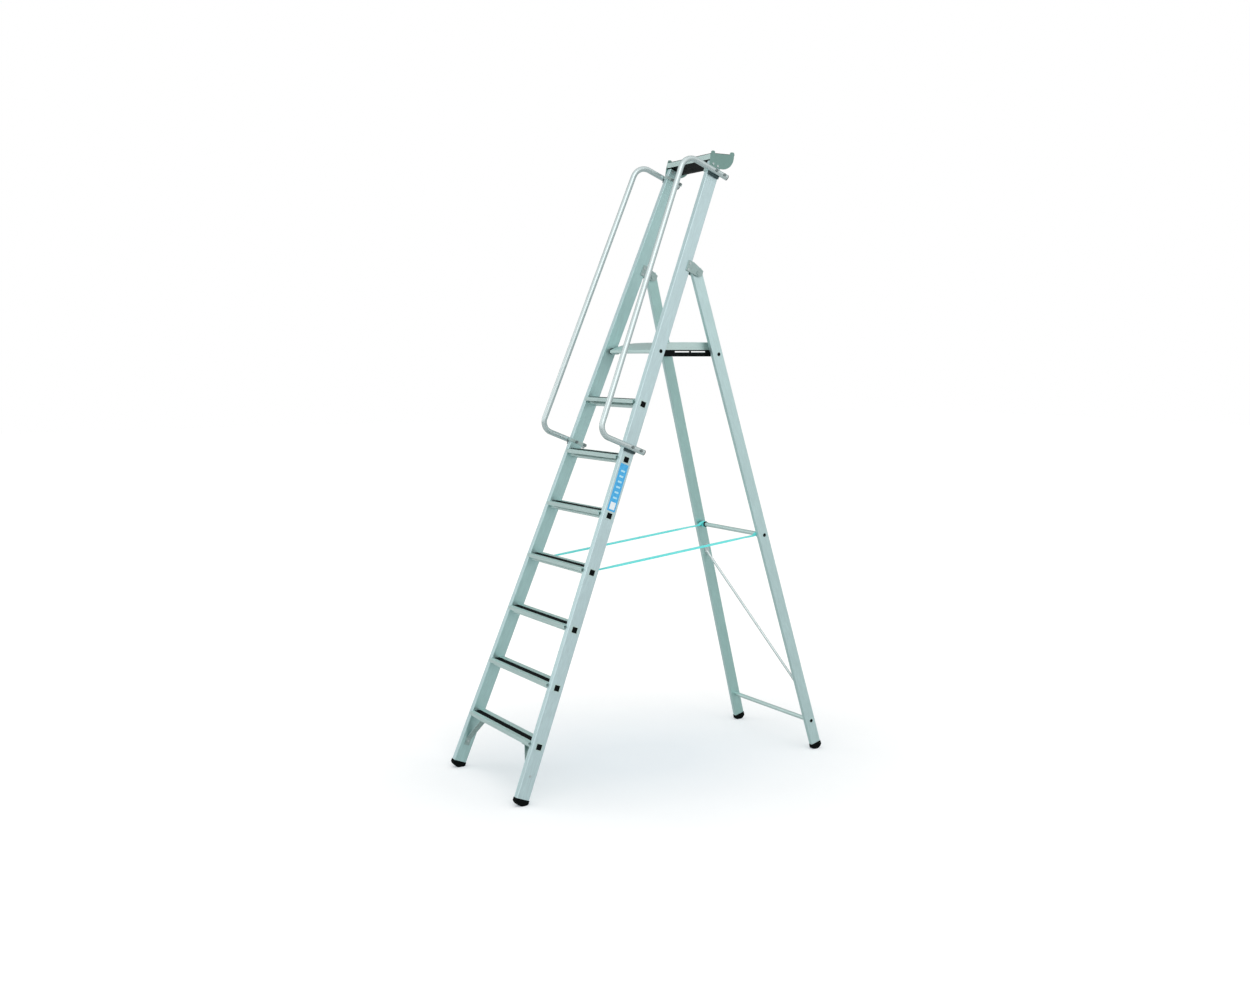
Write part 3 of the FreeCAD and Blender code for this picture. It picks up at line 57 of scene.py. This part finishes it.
class Finish:
    """A node tree with one Principled shader, and short ways to add the usual nodes."""

    def __init__(self, name, roughness=0.5, metallic=0.0, **sockets):
        self.material = bpy.data.materials.new(name)
        self.material.use_nodes = True
        self.tree = self.material.node_tree
        self.shader = self.tree.nodes["Principled BSDF"]
        self.shader.inputs["Roughness"].default_value = roughness
        self.shader.inputs["Metallic"].default_value = metallic
        for socket, number in sockets.items():
            self.shader.inputs[socket.replace("_", " ")].default_value = number

    def add(self, kind, **settings):
        """A node with its properties and unlinked inputs set by name."""
        node = self.tree.nodes.new(kind)
        for key, setting in settings.items():
            if hasattr(node, key):
                setattr(node, key, setting)
            else:
                node.inputs[key].default_value = setting
        return node

    def link(self, start, end):
        self.tree.links.new(start, end)

    def feed(self, socket, entry):
        """Sets a socket to a number or a colour, or links an output to it."""
        if isinstance(entry, (int, float)):
            socket.default_value = entry
        elif isinstance(entry, tuple):
            socket.default_value = (*entry, 1)
        else:
            self.link(entry, socket)

    def mapped(self, source, **settings):
        """A vector that is shifted, turned or stretched."""
        node = self.add("ShaderNodeMapping", vector_type="POINT", **settings)
        self.link(source, node.inputs["Vector"])
        return node.outputs["Vector"]

    def split(self, source):
        """A vector's three parts, as outputs named X, Y and Z."""
        node = self.add("ShaderNodeSeparateXYZ")
        self.link(source, node.inputs["Vector"])
        return node.outputs

    def place(self, stretch=(1, 1, 1), turn=(0, 0, 0)):
        """Object coordinates, turned and then stretched."""
        coords = self.add("ShaderNodeTexCoord")
        turned = self.mapped(coords.outputs["Object"], Rotation=turn)
        return self.mapped(turned, Scale=stretch)

    def noise(self, where, scale, detail=3, rough=0.55):
        node = self.add("ShaderNodeTexNoise", Scale=scale, Detail=detail, Roughness=rough)
        self.link(where, node.inputs["Vector"])
        return node.outputs["Fac"]

    def ramp(self, source, stops):
        node = self.add("ShaderNodeValToRGB")
        for element, (position, colour) in zip(node.color_ramp.elements, stops, strict=True):
            element.position = position
            element.color = (*colour, 1)
        self.link(source, node.inputs["Fac"])
        return node.outputs["Color"]

    def level(self, source, low, high, start=0.0, end=1.0):
        """The range from start to end, spread over low to high and held there beyond it."""
        span = {"From Min": start, "From Max": end, "To Min": low, "To Max": high}
        node = self.add("ShaderNodeMapRange", **span)
        self.link(source, node.inputs["Value"])
        return node.outputs["Result"]

    def mix(self, amount, first, second, blend="MIX"):
        node = self.add("ShaderNodeMix", data_type="RGBA", blend_type=blend)
        self.feed(node.inputs[MIX_FACTOR], amount)
        self.feed(node.inputs[MIX_FIRST], first)
        self.feed(node.inputs[MIX_SECOND], second)
        return node.outputs[MIX_RESULT]

    def math(self, operation, first, second=0.0):
        node = self.add("ShaderNodeMath", operation=operation)
        self.feed(node.inputs[0], first)
        self.feed(node.inputs[1], second)
        return node.outputs["Value"]

    def edges(self, radius):
        """How near a point is to a sharp edge, from 0 to 1."""
        bevel = self.add("ShaderNodeBevel", samples=4, Radius=radius)
        geometry = self.add("ShaderNodeNewGeometry")
        dot = self.add("ShaderNodeVectorMath", operation="DOT_PRODUCT")
        self.link(bevel.outputs["Normal"], dot.inputs[0])
        self.link(geometry.outputs["Normal"], dot.inputs[1])
        return self.level(dot.outputs["Value"], 1, 0, 0.86, 0.995)

    def inward(self):
        """1 on faces that look at the middle of the ladder, 0 on the faces that look outwards;
        this places the painted shade.
        """
        geometry = self.add("ShaderNodeNewGeometry")
        facing = self.split(geometry.outputs["Normal"])
        where = self.split(geometry.outputs["Position"])
        side = self.math("SIGN", where["X"])
        outwards = self.math("MULTIPLY", side, facing["X"])
        return self.level(outwards, 1, 0, -0.6, 0.1)

    def colour(self, source):
        self.link(source, self.shader.inputs["Base Color"])

    def roughness(self, source):
        self.link(source, self.shader.inputs["Roughness"])

    def bump(self, height, distance, strength):
        node = self.add("ShaderNodeBump", Distance=distance, Strength=strength)
        self.link(height, node.inputs["Height"])
        self.link(node.outputs["Normal"], self.shader.inputs["Normal"])


def shade(colour, times, plus=0.0):
    """A lighter or darker colour."""
    return tuple(min(1, channel * times + plus) for channel in colour)


# Metal: how much a stain covers and darkens, the greenish painted shade on faces that look at the
# middle of the ladder, how bright a worn edge with its painted highlight is, and how deep the
# drawing lines are in metres.
STAIN_COVER, STAIN_DARK = 0.35, 0.86
INNER_SHADE_TINT = (0.90, 1.03, 0.99)
EDGE_WEAR_AND_HIGHLIGHT, METAL_EDGE = 1.35, 0.0012
LINE_DEPTH = 0.00012


def metal(name, colour, roughness, stretch, turn=(0, 0, 0), streak=0.10, inner=1.0, wear_and_highlight=0.45,
          grain=0.35):
    """Aluminium or steel with drawing lines along its length, faint stains and bright edges that
    are partly worn and partly a painted highlight. Faces that look inwards get painted shade,
    darker by inner; the last two arguments are how far the edges and the lines stand out."""
    look = Finish(name, roughness, 0.82, Specular_IOR_Level=0.5)
    lines = look.noise(look.place(stretch, turn), 1.0, 4, 0.6)
    cloud = look.noise(look.place(), 5.0, 4)
    base = look.ramp(lines, [(0.3, shade(colour, 1 - streak)), (0.7, shade(colour, 1 + streak))])
    stains = look.level(cloud, 0.0, STAIN_COVER, 0.45, 0.75)
    surface = look.mix(stains, base, shade(colour, STAIN_DARK))
    # Painted shade: faces that look at the middle of the ladder are darkened and tinted green.
    if inner < 1:
        inner_shade_colour = tuple(inner * channel for channel in INNER_SHADE_TINT)
        shaded = look.mix(1.0, surface, inner_shade_colour, "MULTIPLY")
        surface = look.mix(look.inward(), surface, shaded)
    # Edges are brightened, partly as worn metal and partly as a painted highlight.
    if wear_and_highlight:
        rubbed = look.math("MULTIPLY", look.edges(METAL_EDGE), wear_and_highlight)
        surface = look.mix(rubbed, surface, shade(colour, EDGE_WEAR_AND_HIGHLIGHT))
    look.colour(surface)
    look.roughness(look.level(lines, roughness - 0.07, roughness + 0.10, 0.3, 0.7))
    look.bump(lines, LINE_DEPTH, grain)
    return look.material


MOULDED_EDGE = 0.0008


def moulded(name, colour, roughness, grain, depth, lift=1.6):
    """Rubber or plastic with a fine grain, dusty patches and paler edges."""
    look = Finish(name, roughness, 0.0, Specular_IOR_Level=0.05)
    whole = look.place()
    fine = look.noise(whole, grain, 2)
    dust = look.noise(whole, 14, 5, 0.65)
    base = look.ramp(fine, [(0.3, shade(colour, 0.8)), (0.7, shade(colour, 1.2))])
    dusty = look.mix(look.level(dust, 0, 0.5, 0.5, 0.85), base, shade(colour, lift, 0.003))
    rubbed = look.math("MULTIPLY", look.edges(MOULDED_EDGE), 0.3)
    look.colour(look.mix(rubbed, dusty, shade(colour, 2.2, 0.004)))
    look.roughness(look.level(dust, roughness - 0.06, roughness + 0.12, 0.3, 0.7))
    look.bump(fine, depth, 0.5)
    return look.material


def finish(names, material):
    """Puts one material in every slot of the named CAD nodes."""
    for name in names:
        slots = nodes[name].data.materials
        if not slots:
            slots.append(material)
        for index in range(len(slots)):
            slots[index] = material


def both(*stems):
    return [f"{stem}_{side}" for stem in stems for side in SIDES]


# ---------------------------------------------------------------------------------------
# Finishes on the CAD pieces
# ---------------------------------------------------------------------------------------

ANODISED = (0.56, 0.70, 0.72)
ANODISED_LEG = (0.54, 0.70, 0.70)
MILL = (0.56, 0.70, 0.68)

# Noise per metre: lines lie close together across an extrusion and change slowly along it.
FINE, SLOW = 420, 2.5
RUBBER_GRAIN, PLASTIC_GRAIN = 900, 500
RUBBER_DEPTH, PLASTIC_DEPTH = 0.0002, 0.0001

# inner sets how dark the painted shade is on the faces that look at the middle of the ladder.
along_stile = metal("anodised stile", ANODISED, 0.40, (FINE, FINE, SLOW), (FRONT_LEAN, 0, 0),
                    inner=0.90)
along_leg = metal("anodised leg", ANODISED_LEG, 0.40, (FINE, FINE, SLOW), (REAR_LEAN, 0, 0),
                  inner=0.86)
across = metal("ribbed tread", MILL, 0.38, (SLOW, FINE, FINE))
bars = metal("drawn tube", MILL, 0.33, (3, 300, 300), streak=0.05, wear_and_highlight=0, grain=0.12)
sheet_metal = metal("rolled sheet", (0.21, 0.34, 0.31), 0.36, (60, 60, 60), streak=0.06)
pale_sheet = metal("pale sheet", (0.46, 0.58, 0.56), 0.36, (60, 60, 60), streak=0.06)
rail_metal = metal("handrail tube", (0.56, 0.64, 0.64), 0.24, (260, 260, 4), (FRONT_LEAN, 0, 0),
                   streak=0.03, wear_and_highlight=0, grain=0.06)
zinc = metal("zinc plate", (0.36, 0.47, 0.455), 0.34, (90, 90, 90), streak=0.14)
dull_bolt = metal("dull bolt", (0.20, 0.24, 0.24), 0.38, (90, 90, 90), wear_and_highlight=0.2)
rivet_metal = metal("rivet heads", (0.50, 0.56, 0.56), 0.3, (150, 150, 150))
bright_rod = metal("bright rod", (0.62, 0.69, 0.69), 0.24, (40, 200, 40), streak=0.03, wear_and_highlight=0,
                   grain=0.06)
rubber = moulded("black rubber", (0.003, 0.0045, 0.0045), 0.80, RUBBER_GRAIN, RUBBER_DEPTH)
plastic = moulded("black plastic", (0.0035, 0.005, 0.005), 0.50, PLASTIC_GRAIN, PLASTIC_DEPTH)
slate = moulded("slate plastic", (0.055, 0.085, 0.09), 0.5, PLASTIC_GRAIN, PLASTIC_DEPTH)
nylon = moulded("pale nylon", (0.55, 0.57, 0.55), 0.42, PLASTIC_GRAIN, PLASTIC_DEPTH, 0.9)

finish(both("stile"), along_stile)
finish(both("rear_leg"), along_leg)
finish([f"tread_{number}" for number in TREADS] + ["platform_deck"], across)
finish(["platform_tube", "support_tube", "upper_crossbar", "lower_crossbar"], bars)
finish(["diagonal_brace"], bright_rod)
finish(both("tray_bracket"), sheet_metal)
finish(["tray_lip", "handrail_clamps"], pale_sheet)
finish(both("handrail"), rail_metal)
finish([f"hinge_plate_{side}_{face}" for side in SIDES for face in ("inner", "outer")], zinc)
finish(both("hinge_pin", "tread_brace"), zinc)
finish(["handrail_bolts", "diagonal_bolts"], dull_bolt)
finish(["frame_rivets", "platform_rivets"], rivet_metal)
finish(both("front_foot", "rear_foot") + [f"tread_strip_{number}" for number in TREADS], rubber)
finish(["tread_plugs", "platform_tube_caps", "rear_tube_caps", "handrail_caps", "tray_pan",
        "strap_collars", "platform_spacers"] + both("platform_guide"), plastic)
finish(["handrail_saddles"], slate)
finish(["hinge_washers"], nylon)


# ---------------------------------------------------------------------------------------
# Side label: blue printed film with a pale block and a row of plain bars
# ---------------------------------------------------------------------------------------

# The marks, in metres from the label's middle: across the stile, and up along it.
BLOCK_ACROSS, BLOCK_UP = (-0.012, 0.014), (-0.098, -0.066)
BAR_ACROSS, BAR_HIGH = (-0.009, 0.011), 0.008
BAR_FIRST, BAR_STEP, BAR_COUNT = -0.050, 0.024, 6


def printed_film():
    low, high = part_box("side_label")
    middle = (low + high) / 2
    film = Finish("printed film", 0.22, 0.0, Coat_Weight=0.4)
    coords = film.add("ShaderNodeTexCoord")
    centred = film.mapped(coords.outputs["Object"], Location=tuple(-middle))
    upright = film.split(film.mapped(centred, Rotation=(FRONT_LEAN, 0, 0)))

    def band(axis, start, end):
        """1 between two distances along one axis of the label, 0 elsewhere."""
        after = film.math("GREATER_THAN", upright[axis], start)
        before = film.math("LESS_THAN", upright[axis], end)
        return film.math("MULTIPLY", after, before)

    block = film.math("MULTIPLY", band("Z", *BLOCK_UP), band("Y", *BLOCK_ACROSS))
    marks = 0.0
    for number in range(BAR_COUNT):
        start = BAR_FIRST + number * BAR_STEP
        bar = film.math("MULTIPLY", band("Z", start, start + BAR_HIGH), band("Y", *BAR_ACROSS))
        marks = film.math("MAXIMUM", marks, bar)
    grime = film.noise(film.place(), 60, 3)
    blue = film.ramp(grime, [(0.3, (0.030, 0.36, 0.72)), (0.7, (0.055, 0.44, 0.80))])
    printed = film.mix(marks, blue, (0.42, 0.74, 0.88))
    film.colour(film.mix(block, printed, (0.80, 0.86, 0.90)))
    film.roughness(film.level(grime, 0.18, 0.34, 0.3, 0.7))
    return film.material


finish(["side_label"], printed_film())


# ---------------------------------------------------------------------------------------
# Webbing straps: flat woven bands from the fourth tread round the upper crossbar
# ---------------------------------------------------------------------------------------

STRAP_WIDE, STRAP_THICK = 0.022, 0.0016
SIDEWAYS = Vector((1, 0, 0))

# The band's section, in shares of its width and its thickness.
SECTION = [(-0.5, -0.25), (-0.47, -0.5), (0.47, -0.5), (0.5, -0.25),
           (0.5, 0.25), (0.47, 0.5), (-0.47, 0.5), (-0.5, 0.25)]

# The bend at the tab behind the tread: how far up the tab and how far back each point is.
TAB_BEND = [(0.0, 0.0), (0.004, 0.0), (0.007, 0.0), (0.0105, 0.002), (0.010, 0.006)]
TAB_HIGH, TAB_LIFT = 0.010, 0.0006

# The straight run: where it starts behind the tab and ends before the crossbar, how far the
# band is rolled about it, and the share of the run over which it rolls.
RUN_START, RUN_END, RUN_STEPS = 0.012, 0.034, 40
ROLL, ROLL_SHARE = math.radians(13), 0.15

# The rise to the top of the collar and the loop round it: the loop's turn in degrees from one
# point to the next, and how many thicknesses the band's middle stands off the collar.
RISE_STEPS, RISE_CURVE = 6, 0.004
LOOP_POINTS, LOOP_TURN, LOOP_OFF = 25, 13.6, 0.55

# The sewn tail that lies just under the run.
TAIL_LONG, TAIL_UNDER = 0.045, 0.0019


def webbing():
    weave = Finish("turquoise webbing", 0.72, 0.0, Sheen_Weight=0.35, Sheen_Roughness=0.4)
    along = weave.add("ShaderNodeUVMap", uv_map="Along")
    threads = []
    for direction, scale, wander in (("X", 95.0, 0.3), ("Y", 160.0, 0.2)):
        wave = weave.add("ShaderNodeTexWave", wave_type="BANDS", bands_direction=direction,
                         Scale=scale, Distortion=wander)
        weave.link(along.outputs["UV"], wave.inputs["Vector"])
        threads.append(wave.outputs["Fac"])
    crossing = weave.math("MULTIPLY", *threads)
    fade = weave.noise(weave.place(), 9, 3)
    yarn = weave.ramp(crossing, [(0.0, (0.06, 0.70, 0.68)), (0.7, (0.16, 0.94, 0.91))])
    weave.colour(weave.mix(weave.level(fade, 0, 0.3, 0.4, 0.8), yarn, (0.28, 0.95, 0.93)))
    weave.bump(crossing, 0.0004, 0.8)
    return weave.material


def ring_places(path, rolls):
    """The section's corners at each point of a path that keeps to one plane across X."""
    for index, (place, roll) in enumerate(zip(path, rolls, strict=True)):
        ahead = path[min(index + 1, len(path) - 1)] - path[max(index - 1, 0)]
        normal = SIDEWAYS.cross(ahead.normalized())
        flat = SIDEWAYS * math.cos(roll) + normal * math.sin(roll)
        face_out = normal * math.cos(roll) - SIDEWAYS * math.sin(roll)
        yield [place + flat * (u * STRAP_WIDE) + face_out * (v * STRAP_THICK)
               for u, v in SECTION]


def swept_band(name, path, rolls):
    """A flat band with softened edges along a path, with its length in the UV map."""
    build = bmesh.new()
    layer = build.loops.layers.uv.new("Along")
    rings = [[build.verts.new(corner) for corner in ring] for ring in ring_places(path, rolls)]
    lengths = [0.0]
    for before, place in zip(path, path[1:]):
        lengths.append(lengths[-1] + (place - before).length)
    for index, (ring, next_ring) in enumerate(zip(rings, rings[1:])):
        for corner in range(len(SECTION)):
            following = (corner + 1) % len(SECTION)
            face = build.faces.new((ring[corner], ring[following],
                                    next_ring[following], next_ring[corner]))
            face.smooth = True
            spots = ((corner, index), (following, index),
                     (following, index + 1), (corner, index + 1))
            for loop, (side, row) in zip(face.loops, spots):
                loop[layer].uv = (lengths[row], SECTION[side][0] * STRAP_WIDE)
    build.faces.new(rings[0][::-1])
    build.faces.new(rings[-1])
    bmesh.ops.recalc_face_normals(build, faces=build.faces)
    mesh = bpy.data.meshes.new(name)
    build.to_mesh(mesh)
    build.free()
    piece = bpy.data.objects.new(name, mesh)
    bpy.context.scene.collection.objects.link(piece)
    return piece


def make_strap(side, material):
    """One strap: up its tab, back in a straight run, round the collar and under itself."""
    low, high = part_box("upper_crossbar")
    bar = (low + high) / 2
    low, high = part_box("strap_collars")
    loop_radius = (high.z - low.z) / 2 + STRAP_THICK * LOOP_OFF
    low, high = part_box(f"spreader_strap_{side}")
    x = (low.x + high.x) / 2
    centre = Vector((x, bar.y, bar.z))
    tab_low = Vector((x, low.y + STRAP_THICK, low.z + TAB_LIFT))
    tab_up = Vector((0, math.sin(FRONT_LEAN), math.cos(FRONT_LEAN)))
    tab_top = tab_low + tab_up * TAB_HIGH
    way = (centre - tab_top).normalized()
    up = Vector((0, -way.z, way.y))
    start = tab_top + way * RUN_START
    finish_at = centre - way * RUN_END

    path = [tab_low + tab_up * high_up + way * back for high_up, back in TAB_BEND]
    rolls = [0.0] * len(path)
    for step in range(RUN_STEPS + 1):
        path.append(start.lerp(finish_at, step / RUN_STEPS))
        from_end = min(step, RUN_STEPS - step) / RUN_STEPS
        rolls.append(-ROLL * min(1, from_end / ROLL_SHARE))
    for step in range(1, RISE_STEPS):
        share = step / RISE_STEPS
        path.append(finish_at.lerp(centre + up * loop_radius, share)
                    + up * (RISE_CURVE * math.sin(math.pi * share)))
    for step in range(LOOP_POINTS):
        angle = math.radians(90 - step * LOOP_TURN)
        path.append(centre + way * (math.cos(angle) * loop_radius)
                    + up * (math.sin(angle) * loop_radius))
    path.append(finish_at - up * TAIL_UNDER)
    path.append(finish_at - way * TAIL_LONG - up * TAIL_UNDER)
    rolls += [0.0] * (len(path) - len(rolls))

    piece = swept_band(f"webbing_{side}", path, rolls)
    piece.data.materials.append(material)
    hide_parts(f"spreader_strap_{side}")
    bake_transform(piece)


turquoise = webbing()
for side in SIDES:
    make_strap(side, turquoise)


# ---------------------------------------------------------------------------------------
# Studio
# ---------------------------------------------------------------------------------------

# The floor glows a little, with a painted bluish shadow under the ladder that fades to white
# beyond about two metres.
FLOOR_HALF, FLOOR_GLOW = 30, 0.34
PAINTED_SHADOW_STRETCH, PAINTED_SHADOW_NEAR, PAINTED_SHADOW_FAR = (0.75, 0.62, 1), 0.15, 1.25
FLOOR_BOUNCE = (0.60, 0.63, 0.63, 1)

# The room's light comes mostly from this direction; behind it the room is darker.
ROOM_BRIGHT_WAY, ROOM_STRENGTH = (0.72, -0.45, 0.53), 1.17
ROOM_DARK, ROOM_DARK_AT = (0.30, 0.33, 0.33, 1), 0.15
ROOM_LIGHT, ROOM_LIGHT_AT = (1.0, 1.0, 1.0, 1), 0.9


def seen_or_lighting(tree, seen, lighting, output):
    """One shader for what the camera sees directly and another for the light it gives."""
    path = tree.nodes.new("ShaderNodeLightPath")
    choose = tree.nodes.new("ShaderNodeMixShader")
    tree.links.new(path.outputs["Is Camera Ray"], choose.inputs["Fac"])
    tree.links.new(lighting, choose.inputs[1])
    tree.links.new(seen, choose.inputs[2])
    tree.links.new(choose.outputs["Shader"], tree.nodes[output].inputs["Surface"])


def floor_material():
    look = Finish("pale floor", 0.9, 0.0, Specular_IOR_Level=0.0, Emission_Strength=FLOOR_GLOW)
    tone = look.noise(look.place(), 2.0, 2)
    look.colour(look.ramp(tone, [(0.2, (0.78, 0.76, 0.74)), (0.8, (0.80, 0.78, 0.76))]))
    spread = look.add("ShaderNodeVectorMath", operation="LENGTH")
    look.link(look.place(PAINTED_SHADOW_STRETCH), spread.inputs[0])
    outside_painted_shadow = look.level(spread.outputs["Value"], 0, 1, PAINTED_SHADOW_NEAR, PAINTED_SHADOW_FAR)
    # Painted shadow: the glow is dim and bluish under the ladder and white further out.
    look.link(look.ramp(outside_painted_shadow, [(0.0, (0.24, 0.40, 0.54)), (1.0, (1.0, 1.0, 1.0))]),
              look.shader.inputs["Emission Color"])
    bounce = look.add("ShaderNodeBsdfDiffuse", Color=FLOOR_BOUNCE)
    seen_or_lighting(look.tree, look.shader.outputs["BSDF"], bounce.outputs["BSDF"],
                     "Material Output")
    return look.material


def make_floor():
    build = bmesh.new()
    build.faces.new([build.verts.new((x * FLOOR_HALF, y * FLOOR_HALF, 0))
                     for x, y in ((-1, -1), (1, -1), (1, 1), (-1, 1))])
    mesh = bpy.data.meshes.new("studio_floor")
    build.to_mesh(mesh)
    build.free()
    mesh.materials.append(floor_material())
    floor = bpy.data.objects.new("studio_floor", mesh)
    bpy.context.scene.collection.objects.link(floor)


def make_world():
    """A white backdrop, with a room behind it whose light is stronger from one direction."""
    world = bpy.data.worlds.new("studio")
    bpy.context.scene.world = world
    world.use_nodes = True
    tree = world.node_tree
    backdrop = tree.nodes["Background"]
    backdrop.inputs["Color"].default_value = (1.0, 1.0, 1.0, 1)
    room = tree.nodes.new("ShaderNodeBackground")
    room.inputs["Strength"].default_value = ROOM_STRENGTH
    where = tree.nodes.new("ShaderNodeTexCoord")
    towards = tree.nodes.new("ShaderNodeVectorMath")
    towards.operation = "DOT_PRODUCT"
    towards.inputs[1].default_value = ROOM_BRIGHT_WAY
    spread = tree.nodes.new("ShaderNodeMapRange")
    spread.inputs["From Min"].default_value = -1
    glow = tree.nodes.new("ShaderNodeValToRGB")
    dark_end, light_end = glow.color_ramp.elements
    dark_end.color, dark_end.position = ROOM_DARK, ROOM_DARK_AT
    light_end.color, light_end.position = ROOM_LIGHT, ROOM_LIGHT_AT
    tree.links.new(where.outputs["Generated"], towards.inputs[0])
    tree.links.new(towards.outputs["Value"], spread.inputs["Value"])
    tree.links.new(spread.outputs["Result"], glow.inputs["Fac"])
    tree.links.new(glow.outputs["Color"], room.inputs["Color"])
    seen_or_lighting(tree, backdrop.outputs["Background"], room.outputs["Background"],
                     "World Output")


def area_light(name, place, aim, size, power):
    data = bpy.data.lights.new(name, "AREA")
    data.shape = "SQUARE"
    data.size = size
    data.energy = power
    lamp = bpy.data.objects.new(name, data)
    lamp.location = place
    lamp.rotation_mode = "QUATERNION"
    lamp.rotation_quaternion = (Vector(aim) - Vector(place)).to_track_quat("-Z", "Y")
    bpy.context.scene.collection.objects.link(lamp)


make_floor()
make_world()
area_light("key", (5.5, -2.0, 5.5), (0, 0, 1.3), 4.5, 64)
area_light("fill", (-4.5, -5.5, 3.5), (0, -0.2, 1.2), 4, 50)


# ---------------------------------------------------------------------------------------
# Camera
# ---------------------------------------------------------------------------------------

CAMERA_AT = (5.1241, -3.2112, 1.8495)
CAMERA_YAW, CAMERA_PITCH = math.radians(58.63), math.radians(-6.12)
LENS, SENSOR, SEES_TO = 38.497, 36.0, 200


def make_camera():
    data = bpy.data.cameras.new("camera")
    data.sensor_fit = "HORIZONTAL"
    data.sensor_width = SENSOR
    data.lens = LENS
    data.clip_end = SEES_TO
    camera = bpy.data.objects.new("camera", data)
    camera.location = CAMERA_AT
    forward = Vector((-math.sin(CAMERA_YAW) * math.cos(CAMERA_PITCH),
                      math.cos(CAMERA_YAW) * math.cos(CAMERA_PITCH), math.sin(CAMERA_PITCH)))
    camera.rotation_mode = "QUATERNION"
    camera.rotation_quaternion = forward.to_track_quat("-Z", "Y")
    bpy.context.scene.collection.objects.link(camera)
    bpy.context.scene.camera = camera


make_camera()
bpy.context.scene.view_settings.view_transform = "Standard"
